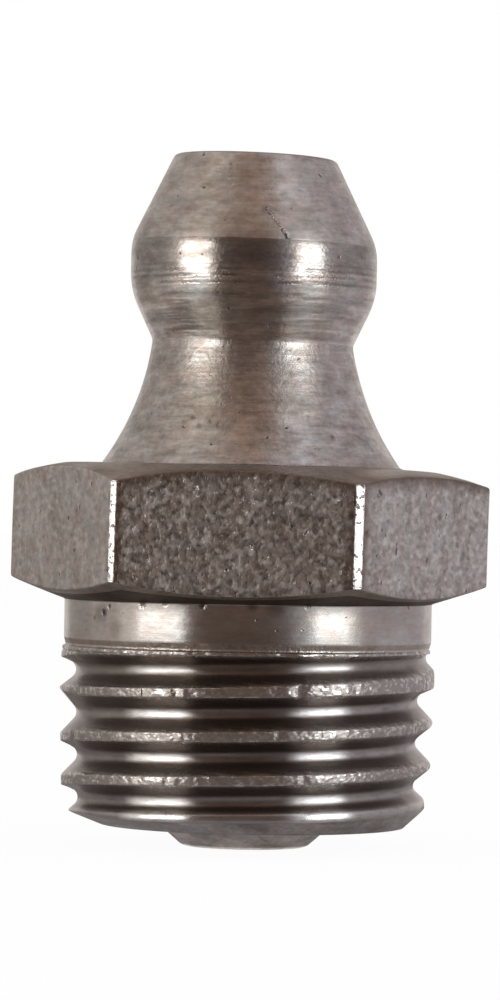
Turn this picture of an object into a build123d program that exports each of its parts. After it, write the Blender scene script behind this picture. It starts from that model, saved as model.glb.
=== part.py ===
from build123d import *

import os
from math import atan, ceil, cos, degrees, radians, sin, sqrt, tan

os.makedirs("parts", exist_ok=True)

# Straight grease nipple with a ball check valve, turned in one piece from hexagon bar.
# +Z runs along the axis towards the head.  The origin lies on the axis, in the plane
# where the plain collar above the thread meets the underside of the hexagon.
# Lengths are in millimetres and angles in degrees.

# ------------------------------------------------------------------ driving sizes
# Hexagon: both ends have a flat, slightly crowned chamfer that also trims the middle of each flat.
hexagon_across_flats = 11.0
hexagon_height = 3.56
hexagon_top_circle = 9.8  # diameter of the flat that is left on top
hexagon_top_chamfer = 16.5  # both chamfers are measured from the end planes
hexagon_base_chamfer = 19.0
chamfer_crown = 0.03  # how far each chamfer bulges from a straight cone
corner_trim = 0.03  # radial, the drawn bar's corners are not quite sharp

# Shank: a plain collar under the hexagon, then a tapered right-hand thread.
shank_length = 6.0  # hexagon underside to the thread's end face
collar_diameter = 9.73
collar_length = 1.29
lip_height = 0.12  # the step from the collar out to the first crest
thread_diameter = 9.96  # over the crests, at the collar end
thread_taper = 1 / 16  # change of diameter over length
thread_pitch = 1.165
thread_depth = 0.48
crest_width = 0.17
root_width = 0.15
full_thread_length = 3.5  # end face to where the groove starts to climb out
runout_turns = 1.3
runout_clearance = 0.05  # where the groove ends, its root is this far outside the collar
runout_step = 0.015  # radial step in the groove's root where the run-out starts
runout_overlap = 0.02  # turns that the full groove reaches past that step
end_bevel_height = 0.58
end_face_diameter = 8.2

# Crimped end: the rim that is rolled inwards to hold the spring.
stub_height = 0.5
stub_base_diameter = 4.6
stub_face_diameter = 3.3
stub_edge_bevel = 0.1
crimp_hole_diameter = 1.5
crimp_thickness = 0.35
crimp_mouth_chamfer = 0.1

# Neck: a concave flare from the hexagon up to the groove behind the head.
neck_height = 3.2
neck_diameter = 5.34
neck_flare_diameter = 8.0
neck_start_angle = 8.0  # how far the flare already leans from the axis at the groove

# Head that the grease coupler's jaws grip.
head_diameter = 6.5
head_back_angle = 23.8  # half angle of the cone behind the jaws' land
head_back_radius = 2.6  # blends that cone into the land
head_land_length = 0.8
head_front_angle = 26.4  # half angle of the long front cone
head_edge_radius = 0.65
head_face_diameter = 4.28
head_rim_bevel = 0.08

# Check valve.
ball_diameter = 2.5
ball_recess = 0.1  # top of the ball below the head's face
ball_bore_clearance = 0.1  # radial
seat_half_angle = 30.0
seat_land = 0.08  # radial width of seat inside the ball's contact circle
seat_clearance = 0.02
mouth_chamfer = 0.1
wire_diameter = 0.28
wire_sides = 6  # the wire is thin and out of sight, so its section is a hexagon
spring_bore_clearance = 0.2  # radial
spring_active_turns = 7
spring_closed_pitch = 0.32
spring_end_clearance = 0.02

# ------------------------------------------------------------------- derived sizes
end_face_z = -shank_length
stub_face_z = end_face_z - stub_height
neck_z = hexagon_height + neck_height
collar_end_z = -collar_length
thread_top_z = collar_end_z - lip_height

crest_slope = thread_taper / 2
taper_angle = degrees(atan(crest_slope))
flank_run = (thread_pitch - crest_width - root_width) / 2  # axial length of one flank
flank_slope = flank_run / thread_depth

ball_radius = ball_diameter / 2
bore_radius = ball_radius + ball_bore_clearance
opening_radius = ball_radius * cos(radians(seat_half_angle)) - seat_land


def crest_radius(z):
    """Radius of the tapered shank over its crests at height z."""
    return thread_diameter / 2 + (z - thread_top_z) * crest_slope


def groove_section(root_radius, root_z):
    """Corners of the thread groove's section, run on past the crests to just short of the next turn."""
    mouth = (thread_pitch - crest_width / 4) / 2
    reach = (mouth - root_width / 2) / flank_slope
    return [
        (root_radius, root_z - root_width / 2),
        (root_radius, root_z + root_width / 2),
        (root_radius + reach, root_z + mouth),
        (root_radius + reach, root_z - mouth),
    ]


# ------------------------------------------------------------------------- hexagon
with BuildPart() as hexagon:
    with BuildSketch():
        RegularPolygon(hexagon_across_flats / 2, 6, major_radius=False)
    extrude(amount=hexagon_height)
    bar_radius = hexagon_across_flats / 2 / cos(radians(30)) - corner_trim
    base_rise = (bar_radius - collar_diameter / 2) * tan(radians(hexagon_base_chamfer))
    top_drop = (bar_radius - hexagon_top_circle / 2) * tan(radians(hexagon_top_chamfer))
    with BuildSketch(Plane.XZ):
        with BuildLine():
            Line((0, 0), (collar_diameter / 2, 0))
            SagittaArc((collar_diameter / 2, 0), (bar_radius, base_rise), -chamfer_crown)
            Line((bar_radius, base_rise), (bar_radius, hexagon_height - top_drop))
            SagittaArc(
                (bar_radius, hexagon_height - top_drop),
                (hexagon_top_circle / 2, hexagon_height),
                -chamfer_crown,
            )
            Polyline((hexagon_top_circle / 2, hexagon_height), (0, hexagon_height), (0, 0))
        make_face()
    revolve(axis=Axis.Z, mode=Mode.INTERSECT)

# --------------------------------------------------------------- shank with thread
with BuildPart() as shank:
    with BuildSketch(Plane.YZ):
        with BuildLine():
            Polyline(
                (0, end_face_z),
                (crest_radius(end_face_z), end_face_z),
                (crest_radius(thread_top_z), thread_top_z),
                (collar_diameter / 2, collar_end_z),
                (collar_diameter / 2, hexagon_height / 2),
                (0, hexagon_height / 2),
                close=True,
            )
        make_face()
    revolve(axis=Axis.Z)

    # The groove starts a little below the end face and follows the taper upwards.
    runout_z = end_face_z + full_thread_length
    groove_turns = ceil(full_thread_length / thread_pitch + 1 / 2)
    groove_z = runout_z - groove_turns * thread_pitch
    groove_radius = crest_radius(groove_z) - thread_depth
    with BuildLine() as groove_path:
        Helix(
            pitch=thread_pitch / cos(radians(taper_angle)),
            height=(groove_turns + runout_overlap) * thread_pitch,
            radius=groove_radius,
            center=(0, 0, groove_z),
            cone_angle=taper_angle,
        )
    with BuildSketch(Plane.XZ):
        with BuildLine():
            Polyline(groove_section(groove_radius, groove_z), close=True)
        make_face()
    sweep(path=groove_path.line, is_frenet=True, mode=Mode.SUBTRACT)

    # Then it climbs out of the shank on a steeper cone, until its root clears the collar.
    runout_radius = crest_radius(runout_z) - thread_depth + runout_step
    runout_rise = collar_diameter / 2 + runout_clearance - runout_radius
    runout_height = runout_turns * thread_pitch
    runout_angle = degrees(atan(runout_rise / runout_height))
    with BuildLine() as runout_path:
        Helix(
            pitch=thread_pitch / cos(radians(runout_angle)),
            height=runout_height,
            radius=runout_radius,
            center=(0, 0, runout_z),
            cone_angle=runout_angle,
        )
    with BuildSketch(Plane.XZ):
        with BuildLine():
            Polyline(groove_section(runout_radius, runout_z), close=True)
        make_face()
    sweep(path=runout_path.line, is_frenet=True, mode=Mode.SUBTRACT)

    # The bevel trims the first turns last.
    bevel_run = crest_radius(end_face_z + end_bevel_height) - end_face_diameter / 2
    with BuildSketch(Plane.YZ):
        with BuildLine():
            Polyline(
                (end_face_diameter / 2, end_face_z),
                (end_face_diameter / 2 + 2 * bevel_run, end_face_z),
                (end_face_diameter / 2 + 2 * bevel_run, end_face_z + 2 * end_bevel_height),
                close=True,
            )
        make_face()
    revolve(axis=Axis.Z, mode=Mode.SUBTRACT)

# ------------------------------------------------------------------------ the body
with BuildPart() as nipple_body:
    add(shank.part)
    add(hexagon.part)

    # Rolled rim at the thread's end.
    with BuildSketch(Plane.XZ):
        with BuildLine():
            Polyline(
                (0, end_face_z + stub_height),
                (0, stub_face_z),
                (stub_face_diameter / 2, stub_face_z),
                (stub_face_diameter / 2 + stub_edge_bevel, stub_face_z + stub_edge_bevel / 2),
                (stub_base_diameter / 2, end_face_z),
                (stub_base_diameter / 2, end_face_z + stub_height),
                close=True,
            )
        make_face()
    revolve(axis=Axis.Z)

    # Neck and head in one turned profile.
    neck_radius = neck_diameter / 2
    head_radius = head_diameter / 2
    face_radius = head_face_diameter / 2
    back_drop = head_back_radius * (1 - cos(radians(head_back_angle)))
    back_cone_height = (head_radius - neck_radius - back_drop) / tan(radians(head_back_angle))
    back_arc_height = head_back_radius * sin(radians(head_back_angle))
    back_arc_z = neck_z + back_cone_height
    land_z = back_arc_z + back_arc_height
    front_z = land_z + head_land_length
    front_slope = tan(radians(head_front_angle))
    face_z = front_z + (head_radius - face_radius) / front_slope
    flare_tangent = (sin(radians(neck_start_angle)), -cos(radians(neck_start_angle)))
    with BuildSketch(Plane.XZ):
        with BuildLine():
            Polyline((0, hexagon_height / 2), (neck_flare_diameter / 2, hexagon_height / 2),
                     (neck_flare_diameter / 2, hexagon_height))
            TangentArc((neck_radius, neck_z), (neck_flare_diameter / 2, hexagon_height), tangent=flare_tangent)
            Line((neck_radius, neck_z), (head_radius - back_drop, back_arc_z))
            TangentArc((head_radius, land_z), (head_radius - back_drop, back_arc_z), tangent=(0, -1))
            FilletPolyline(
                (head_radius, land_z),
                (head_radius, front_z),
                (face_radius + head_rim_bevel * front_slope, face_z - head_rim_bevel),
                radius=head_edge_radius,
            )
            Polyline(
                (face_radius + head_rim_bevel * front_slope, face_z - head_rim_bevel),
                (face_radius - head_rim_bevel, face_z),
                (0, face_z),
                (0, hexagon_height / 2),
            )
        make_face()
    revolve(axis=Axis.Z)

    # Passage: mouth, ball seat, bore for ball and spring, and the hole left by the rim.
    ball_z = face_z - ball_recess - ball_radius
    seat_tip_z = ball_z + (ball_radius + seat_clearance) / sin(radians(seat_half_angle))
    seat_top_z = seat_tip_z - opening_radius / tan(radians(seat_half_angle))
    seat_base_z = seat_tip_z - bore_radius / tan(radians(seat_half_angle))
    ledge_z = stub_face_z + crimp_thickness
    crimp_radius = crimp_hole_diameter / 2
    with BuildSketch(Plane.XZ):
        with BuildLine():
            Polyline(
                (0, stub_face_z),
                (crimp_radius + crimp_mouth_chamfer, stub_face_z),
                (crimp_radius, stub_face_z + crimp_mouth_chamfer),
                (crimp_radius, ledge_z),
                (bore_radius, ledge_z),
                (bore_radius, seat_base_z),
                (opening_radius, seat_top_z),
                (opening_radius, face_z - mouth_chamfer),
                (opening_radius + mouth_chamfer, face_z),
                (0, face_z),
                close=True,
            )
        make_face()
    revolve(axis=Axis.Z, mode=Mode.SUBTRACT)

nipple_body.part.label = "nipple_body"
export_step(nipple_body.part, "parts/nipple_body.step")

# ------------------------------------------------------------------------ the ball
with BuildPart() as check_ball:
    with Locations((0, 0, ball_z)):
        Sphere(ball_radius)

check_ball.part.label = "check_ball"
export_step(check_ball.part, "parts/check_ball.step")

# ---------------------------------------------------------------------- the spring
# One closed turn at each end, and the active turns between them.
wire_radius = wire_diameter / 2
coil_radius = bore_radius - spring_bore_clearance - wire_radius
ball_contact_drop = sqrt((ball_radius + wire_radius) ** 2 - coil_radius**2)
spring_base_z = ledge_z + wire_radius + spring_end_clearance
spring_top_z = ball_z - ball_contact_drop - spring_end_clearance
active_height = spring_top_z - spring_base_z - 2 * spring_closed_pitch
coils = [
    (spring_base_z, spring_closed_pitch, spring_closed_pitch),
    (spring_base_z + spring_closed_pitch, active_height / spring_active_turns, active_height),
    (spring_top_z - spring_closed_pitch, spring_closed_pitch, spring_closed_pitch),
]

with BuildPart() as valve_spring:
    for coil_z, coil_pitch, coil_height in coils:
        with BuildLine() as coil:
            Helix(pitch=coil_pitch, height=coil_height, radius=coil_radius, center=(0, 0, coil_z))
        with BuildSketch(Plane(origin=coil.line @ 0, z_dir=coil.line % 0)):
            RegularPolygon(wire_radius, wire_sides)
        sweep(path=coil.line, is_frenet=True)

valve_spring.part.label = "valve_spring"
export_step(valve_spring.part, "parts/valve_spring.step")
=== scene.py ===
"""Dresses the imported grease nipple: one turned steel body, its check ball, its valve spring and a small studio."""

import logging
import math
from dataclasses import dataclass, field
from enum import Enum
from functools import cached_property
from typing import ClassVar, Union

import bpy
import numpy as np
from mathutils import Matrix, Vector


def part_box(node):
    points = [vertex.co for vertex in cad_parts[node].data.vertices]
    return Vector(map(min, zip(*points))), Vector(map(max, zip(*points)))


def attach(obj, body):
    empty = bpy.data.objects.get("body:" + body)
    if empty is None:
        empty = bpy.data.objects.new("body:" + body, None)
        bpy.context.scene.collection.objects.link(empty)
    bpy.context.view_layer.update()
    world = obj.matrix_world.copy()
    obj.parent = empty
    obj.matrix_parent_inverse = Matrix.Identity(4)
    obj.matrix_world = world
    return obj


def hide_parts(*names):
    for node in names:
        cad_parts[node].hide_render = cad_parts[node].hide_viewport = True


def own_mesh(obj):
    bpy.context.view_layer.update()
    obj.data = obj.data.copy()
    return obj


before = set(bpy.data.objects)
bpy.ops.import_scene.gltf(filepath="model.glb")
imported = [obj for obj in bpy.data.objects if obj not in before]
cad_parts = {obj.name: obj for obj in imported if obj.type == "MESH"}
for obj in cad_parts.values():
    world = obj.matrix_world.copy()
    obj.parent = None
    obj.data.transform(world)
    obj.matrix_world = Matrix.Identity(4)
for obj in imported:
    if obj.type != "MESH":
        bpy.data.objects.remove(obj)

logging.basicConfig(level=logging.INFO, format="%(message)s")
log = logging.getLogger("nipple")

MM = 0.001
TURN = 2 * math.pi
SIXTH = math.radians(60)
TINY = 1e-9
RANDOM_NUMBERS = 8192
FLOOR_HEIGHT = -6.5 * MM

Colour = tuple[float, float, float]
Triple = tuple[float, float, float]
Socket = bpy.types.NodeSocket
Array = np.ndarray
Value = Union[Socket, float, Colour, Vector, None]


# ------------------------------------------------------------------------ materials
class Surface(Enum):
    """The stretches of the body that a maker would call by their own finish, and the hexagon's underside next to the
    collar, which has painted shade.
    """

    PASSAGE = "passage"
    HEAD_FACE = "head_face"
    HEAD_CONE = "head_cone"
    HEAD_BALL = "head_ball"
    FLARE = "flare"
    CHAMFER = "chamfer"
    FLATS = "flats"
    COLLAR = "collar"
    THREAD = "thread"
    BEVEL = "bevel"
    CRIMP = "crimp"
    # painted shade: the dark inner part of the hexagon's lower chamfer, next to the collar
    UNDERSIDE = "underside"


@dataclass(frozen=True)
class Pattern:
    """A noise that runs through the steel.

    Attributes:
        scale: Cells for each millimetre along X, Y and Z.
        shift: Moves it, so that two of them differ.
        detail: Octaves.
        roughness: How strong the finer octaves are.
        distortion: How much it swirls.
        edges: Where its patches start and where they are full, for noise around one half.
    """

    scale: Triple
    shift: float = 0.0
    detail: float = 2.0
    roughness: float = 0.5
    distortion: float = 0.0
    edges: tuple[float, float] = (0.35, 0.65)


class Board:
    """The node tree of a material or of the world, with short helpers that add nodes and feed them."""

    ragged = Pattern((14.0, 14.0, 14.0), 4.4)
    ragged_reach = Vector((0.1, 0.1, 0.1)) * MM
    level_core = 0.4
    line_core = 0.3

    def __init__(self, owner: "bpy.types.Material | bpy.types.World") -> None:
        """Empty the node tree of a new material or world.

        Args:
            owner: The material or world.
        """
        owner.use_nodes = True
        self.owner = owner
        self.tree = owner.node_tree
        self.tree.nodes.clear()

    @cached_property
    def place(self) -> Socket:
        """The object's own coordinates."""
        return self.add("ShaderNodeTexCoord", {}).outputs["Object"]

    @cached_property
    def shaken(self) -> Socket:
        """The object's coordinates with a small random shift, so that marks placed by them look ragged."""
        colour = self.noise(self.ragged).node.outputs["Color"]
        shift = self.vector("SUBTRACT", colour, Vector((0.5, 0.5, 0.5)))
        return self.vector("ADD", self.place, self.vector("MULTIPLY", shift, self.ragged_reach))

    def add(self, kind: str, inputs: "dict[int | str, Value]", **settings: object) -> bpy.types.Node:
        """Add a node and feed it.

        Args:
            kind: The node's Blender type.
            inputs: What feeds each input, by the input's number or name, where None leaves it alone.
            settings: Properties to set on the node.

        Returns:
            The new node.
        """
        made = self.tree.nodes.new(kind)
        for key, value in settings.items():
            setattr(made, key, value)
        for key, value in inputs.items():
            socket = made.inputs[key]
            if isinstance(value, Socket):
                self.tree.links.new(value, socket)
            elif value is not None:
                socket.default_value = (*value, 1.0) if socket.type == "RGBA" else value
        return made

    def shown(self, shader: Socket) -> "bpy.types.Material | bpy.types.World":
        """Show a shader as the surface, and give back the material or the world."""
        self.add(f"ShaderNodeOutput{self.owner.bl_rna.identifier}", {"Surface": shader})
        return self.owner

    def shader(self, kind: str, colour: Colour) -> Socket:
        """Add a plain shader of a Blender type, in one colour."""
        return self.add(kind, {"Color": colour}).outputs[0]

    def by_ray(self, lit: Socket, seen: Socket, share: float) -> Socket:
        """Show one shader to the rays that light, and another to those that look.

        Args:
            lit: What lights other things.
            seen: What the camera sees, straight, mirrored or through glass.
            share: How much of it they see.

        Returns:
            The mixed shader.
        """
        path = self.add("ShaderNodeLightPath", {}).outputs
        looks = self.maths("ADD", path["Is Camera Ray"], path["Is Glossy Ray"], clamp=True)
        looks = self.maths("ADD", looks, path["Is Transmission Ray"], clamp=True)
        return self.add("ShaderNodeMixShader", {0: self.times(looks, share), 1: lit, 2: seen}).outputs[0]

    def maths(self, operation: str, a: Value, b: Value = 0.0, clamp: bool = False) -> Socket:
        """Do one of Blender's Math operations, and keep the result from 0 to 1 if it is clamped."""
        return self.add("ShaderNodeMath", {0: a, 1: b}, operation=operation, use_clamp=clamp).outputs[0]

    def times(self, a: Value, b: Value) -> Socket:
        """Multiply two values."""
        return self.maths("MULTIPLY", a, b)

    def plus(self, a: Value, b: Value) -> Socket:
        """Add two values."""
        return self.maths("ADD", a, b)

    def minus(self, a: Value, b: Value) -> Socket:
        """Subtract the second value from the first."""
        return self.maths("SUBTRACT", a, b)

    def vector(self, operation: str, a: Value, b: Value, c: Value = None) -> Socket:
        """Do one of Blender's Vector Math operations, on two or three vectors."""
        made = self.add("ShaderNodeVectorMath", {0: a, 1: b, 2: c}, operation=operation)
        return made.outputs["Value" if operation in ("DOT_PRODUCT", "DISTANCE") else "Vector"]

    def noise(self, pattern: Pattern) -> Socket:
        """Lay a noise over the object's own coordinates.

        Args:
            pattern: What it looks like.

        Returns:
            The noise, around one half.
        """
        scale = [cells / MM for cells in pattern.scale]
        shift = [pattern.shift / part for part in (1, 2, 3)]
        place = self.add("ShaderNodeMapping", {"Vector": self.place, "Scale": scale, "Location": shift})
        fed = {"Vector": place.outputs["Vector"], "Scale": 1.0, "Detail": pattern.detail}
        fed |= {"Roughness": pattern.roughness, "Distortion": pattern.distortion}
        return self.add("ShaderNodeTexNoise", fed).outputs["Fac"]

    def patches(self, pattern: Pattern, to_low: float = 0.0, to_high: float = 1.0) -> Socket:
        """Lay a noise as patches, from one value between them to another inside them."""
        return self.span(self.noise(pattern), *pattern.edges, to_low, to_high)

    def span(self, value: Socket, low: float, high: float, to_low: float = 0.0, to_high: float = 1.0) -> Socket:
        """Map a value so that low and high become two other numbers, and clamp it."""
        names = ("Value", "From Min", "From Max", "To Min", "To Max")
        return self.add("ShaderNodeMapRange", dict(zip(names, (value, low, high, to_low, to_high)))).outputs[0]

    def blend(self, share: Value, a: Value, b: Value, mode: str = "MIX") -> Socket:
        """Mix two colours in one of Blender's modes, by the share of the second."""
        return self.add("ShaderNodeMix", {0: share, 6: a, 7: b}, data_type="RGBA", blend_type=mode).outputs[2]

    def grey(self, value: Socket) -> Socket:
        """Turn a number into a grey."""
        return self.add("ShaderNodeCombineXYZ", {0: value, 1: value, 2: value}).outputs[0]

    def attribute(self, name: str) -> Socket:
        """Read a number that the mesh carries at each point."""
        return self.add("ShaderNodeAttribute", {}, attribute_name=name).outputs["Fac"]

    def height(self, place: Socket) -> Socket:
        """Take the height out of a place, in metres."""
        return self.add("ShaderNodeSeparateXYZ", {0: place}).outputs["Z"]

    def level(self, height: float, reach: float) -> Socket:
        """Give 1 at one height and 0 beyond its reach, both in millimetres, with a ragged edge."""
        away = self.maths("ABSOLUTE", self.minus(self.height(self.shaken), height * MM))
        return self.span(away, reach * self.level_core * MM, reach * MM, 1.0, 0.0)

    def near(self, start: Vector, end: Vector, reach: float) -> Socket:
        """Mark a straight line, with a ragged edge.

        Args:
            start: Where the line starts, in metres.
            end: Where it ends.
            reach: How far away 0 is reached, in metres.

        Returns:
            The mask, 1 on the line and 0 beyond its reach.
        """
        nearest: Value = start
        if start != end:
            along = end - start
            offset = self.vector("SUBTRACT", self.shaken, start)
            share = self.vector("DOT_PRODUCT", offset, along / along.length_squared)
            share = self.maths("MINIMUM", self.maths("MAXIMUM", share, 0.0), 1.0)
            nearest = self.vector("MULTIPLY_ADD", share, along, start)
        away = self.vector("DISTANCE", self.shaken, nearest)
        return self.span(away, reach * self.line_core, reach, 1.0, 0.0)

    def bumped(self, height: Socket, depth: float, normal: "Socket | None" = None) -> Socket:
        """Bump a normal by a height, which is 1 for the full depth in millimetres."""
        fed = {"Strength": 1.0, "Distance": depth * MM, "Height": height, "Normal": normal}
        return self.add("ShaderNodeBump", fed).outputs["Normal"]


@dataclass(frozen=True)
class Marks:
    """Marks that are laid over a steel surface by noise.

    Attributes:
        scale: Cells for each millimetre along X, Y and Z.
        depth: How deep they are cut, in millimetres.
        darken: How much darker the steel is inside them, or how much brighter flecks are.
        level: Noise above this shows, where the marks are single spots.
        detail: Octaves of the noise.
        fade: Heights in millimetres from which they fade in, and where they are full.
    """

    scale: Triple
    depth: float
    darken: float = 0.0
    level: float = 0.0
    detail: float = 4.0
    fade: "tuple[float, float] | None" = None


@dataclass(frozen=True)
class Pit:
    """One small hole in the surface.

    Attributes:
        angle: Where it is round the axis, in degrees.
        radius: Distance from the axis, in millimetres.
        height: Height above the hexagon's underside, in millimetres.
        size: Its own radius, in millimetres.
        shade: How dark it is, from 0 to 1, where a low number is a smudge.
    """

    angle: float
    radius: float
    height: float
    size: float
    shade: float = 1.0

    @property
    def place(self) -> Vector:
        """Where it is, in metres."""
        a = math.radians(self.angle)
        return Vector((self.radius * math.cos(a), self.radius * math.sin(a), self.height)) * MM


@dataclass(frozen=True)
class Scratch:
    """One scratch between two places on the surface.

    Attributes:
        start: Where it starts.
        end: Where it ends.
        width: Its width, in millimetres.
        shade: How dark it is, from 0 to 1.
    """

    start: Pit
    end: Pit
    width: float
    shade: float = 1.0


@dataclass(frozen=True)
class ToolLine:
    """One fine groove that the turning tool left round the axis.

    Attributes:
        height: Its height above the hexagon's underside, in millimetres.
        width: Half its width, in millimetres.
        shade: How dark it is, from 0 to 1.
    """

    height: float
    width: float
    shade: float


@dataclass(frozen=True)
class SteelFinish:
    """Bare steel as a machine left it.

    Attributes:
        name: The finish's name.
        light: The cleaner steel's colour.
        dull: The colour of its darker clouds.
        roughness: Lowest and highest roughness.
        cloud: Cells of the clouds for each millimetre.
        lines: Turning lines around the axis, if it was turned.
        grain: Fine grain that runs no special way.
        spots: Small dark holes, scattered.
        flecks: Small bright flats, scattered.
        pits: Holes in set places.
        scratches: Scratches in set places.
        tool_lines: Fine grooves round the axis at set heights, each broken here and there.
        rubbed: The colour of edges that handling has rubbed.
        stretch: How much the highlights spread along the axis, from 0 to 1.
        mottle: How much lighter and darker the steel gets in fine streaks around the axis.
        patchy: True where the mesh says how strong the grain is, and where the steel has a brown stain and, along the
            flats' top rim, painted shade.
    """

    name: str
    light: Colour = (0.6, 0.565, 0.545)
    dull: Colour = (0.44, 0.39, 0.36)
    roughness: tuple[float, float] = (0.25, 0.4)
    cloud: Triple = (0.6, 0.6, 1.2)
    lines: "Marks | None" = None
    grain: "Marks | None" = None
    spots: "Marks | None" = None
    flecks: "Marks | None" = None
    pits: tuple[Pit, ...] = ()
    scratches: tuple[Scratch, ...] = ()
    tool_lines: tuple[ToolLine, ...] = ()
    rubbed: Colour = (0.78, 0.76, 0.74)
    stretch: float = 0.0
    mottle: float = 0.0
    patchy: bool = False
    dirt: ClassVar[Colour] = (0.035, 0.028, 0.023)
    # brown for the front flat's stain, and for the painted shade along the flats' top rim
    tarnish: ClassVar[Colour] = (0.12, 0.075, 0.048)
    warm: ClassVar[Colour] = (1.0, 0.95, 0.91)
    cool: ClassVar[Colour] = (0.97, 1.0, 0.985)
    polish: ClassVar[float] = 0.16
    swirl: ClassVar[float] = 0.4
    pit_depth: ClassVar[float] = 0.02
    mean_grain: ClassVar[float] = 0.6
    mark_edges: ClassVar[tuple[float, float]] = (0.3, 0.68)
    rough_edges: ClassVar[tuple[float, float]] = (0.3, 0.7)
    stain_share: ClassVar[float] = 0.8
    fleck_blur: ClassVar[float] = 0.2
    spot_blur: ClassVar[float] = 0.05
    quarter_turn: ClassVar[float] = 0.25
    hues: ClassVar[Pattern] = Pattern((2.0, 2.0, 2.0), 17.2, 3.0, 0.6, edges=(0.38, 0.62))
    streaks: ClassVar[Pattern] = Pattern((1.3, 1.3, 5.5), 23.6, 5.0, 0.75, edges=(0.36, 0.64))
    rubbed_spots: ClassVar[Pattern] = Pattern((6.0, 6.0, 6.0), 2.2, 2.0, 0.6, edges=(0.33, 0.42))

    def build(self) -> bpy.types.Material:
        """Make the material.

        Returns:
            The material.
        """
        board = Board(bpy.data.materials.new(self.name))
        colour, rough = self.clouded(board)
        worn = self.wear(board)
        colour, normal = self.marked(board, self.tinted(board, colour), worn)
        if self.flecks:
            level = self.flecks.level
            fleck = Pattern(self.flecks.scale, shift=12.9, detail=1.5, edges=(level, level + self.fleck_blur))
            share = board.patches(fleck, 0.0, self.flecks.darken)
            if self.patchy:
                share = board.times(share, board.attribute("coarse"))
            colour = board.blend(share, colour, self.rubbed)
        if self.patchy:
            # brown stain on the front flat, and painted shade along the flats' top rim
            colour = board.blend(board.times(board.attribute("stained"), self.stain_share), colour, self.tarnish)
        colour = board.blend(worn, colour, self.rubbed)
        rough = board.plus(rough, board.times(worn, self.polish - self.roughness[0]))
        for mask, depth in self.holes(board):
            colour = board.blend(mask, colour, self.dirt)
            normal = board.bumped(board.minus(1.0, mask), depth, normal)
        return self.shaded(board, colour, rough, normal)

    def clouded(self, board: Board) -> tuple[Socket, Socket]:
        """Lay the steel's clouds.

        Args:
            board: The material's board.

        Returns:
            Their colour and their roughness.
        """
        clouds = Pattern(self.cloud, shift=3.1, detail=3.0, roughness=0.6, distortion=self.swirl)
        noise = board.noise(clouds)
        colour = board.blend(board.span(noise, *clouds.edges), self.dull, self.light)
        return colour, board.span(noise, *self.rough_edges, *self.roughness[::-1])

    def tinted(self, board: Board, colour: Socket) -> Socket:
        """Add the steel's warm and cool hues, and its fine streaks.

        Args:
            board: The material's board.
            colour: The steel's colour.

        Returns:
            The tinted colour.
        """
        hues = board.blend(board.patches(self.hues), self.warm, self.cool)
        colour = board.blend(1.0, colour, hues, "MULTIPLY")
        if self.mottle:
            streaks = board.patches(self.streaks, 1 - self.mottle, 1 + self.mottle / 2)
            colour = board.blend(1.0, colour, board.grey(streaks), "MULTIPLY")
        return colour

    def marked(self, board: Board, colour: Socket, worn: Socket) -> "tuple[Socket, Socket | None]":
        """Lay the turning lines and the grain.

        Args:
            board: The material's board.
            colour: The steel's colour.
            worn: How much of it is rubbed smooth.

        Returns:
            The colour and the normal with them.
        """
        normal = None
        for marks, shift in ((self.lines, 0.0), (self.grain, 5.7)):
            if marks is None:
                continue
            height = board.noise(Pattern(marks.scale, shift, marks.detail, roughness=0.6))
            if marks.fade:
                start, full = marks.fade
                fade = board.span(board.height(board.place), full * MM, start * MM, 1.0, 0.0)
                height = board.times(height, fade)
            if marks is self.grain and self.patchy:
                height = board.times(board.minus(height, self.mean_grain), board.attribute("coarse"))
                height = board.plus(height, self.mean_grain)
            if marks.darken:
                share = board.span(height, *self.mark_edges, marks.darken, 0.0)
                colour = board.blend(share, colour, (0.0, 0.0, 0.0))
            normal = board.bumped(board.times(height, board.minus(1.0, worn)), marks.depth, normal)
        return colour, normal

    def wear(self, board: Board) -> Socket:
        """Give how much of the surface is rubbed bright, broken up by small spots that aren't."""
        return board.maths("MULTIPLY", board.attribute("worn"), board.patches(self.rubbed_spots), clamp=True)

    def holes(self, board: Board) -> list[tuple[Socket, float]]:
        """List the holes, the scratches and the tool lines.

        Args:
            board: The material's board.

        Returns:
            The mask and the depth in millimetres of each.
        """
        made = []
        if self.spots:
            level = self.spots.level
            spots = Pattern(self.spots.scale, shift=9.3, detail=1.5, edges=(level, level + self.spot_blur))
            made.append((board.patches(spots), self.spots.darken, self.spots.depth))
        for pit in self.pits:
            made.append((board.near(pit.place, pit.place, pit.size * MM), pit.shade, self.pit_depth * pit.shade))
        for scratch in self.scratches:
            mask = board.near(scratch.start.place, scratch.end.place, scratch.width * MM / 2)
            made.append((mask, scratch.shade, scratch.width / 2))
        for line in self.tool_lines:
            breaks = board.patches(Pattern((0.9, 0.9, 0.9), line.height, edges=(0.42, 0.55)))
            made.append((board.times(board.level(line.height, line.width), breaks), line.shade, line.width / 4))
        return [(board.times(mask, shade), depth) for mask, shade, depth in made]

    def shaded(self, board: Board, colour: Socket, rough: Socket, normal: "Socket | None") -> bpy.types.Material:
        """Put the metal shader at the end of the board.

        Args:
            board: The material's board.
            colour: The steel's colour.
            rough: Its roughness.
            normal: Its bumped normal.

        Returns:
            The material.
        """
        fed = {"Metallic": 1.0, "Base Color": colour, "Roughness": rough, "Normal": normal}
        if self.stretch:
            around = board.add("ShaderNodeTangent", {}, direction_type="RADIAL", axis="Z").outputs["Tangent"]
            fed |= {"Anisotropic": self.stretch, "Anisotropic Rotation": self.quarter_turn, "Tangent": around}
        return board.shown(board.add("ShaderNodeBsdfPrincipled", fed).outputs["BSDF"])


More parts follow.
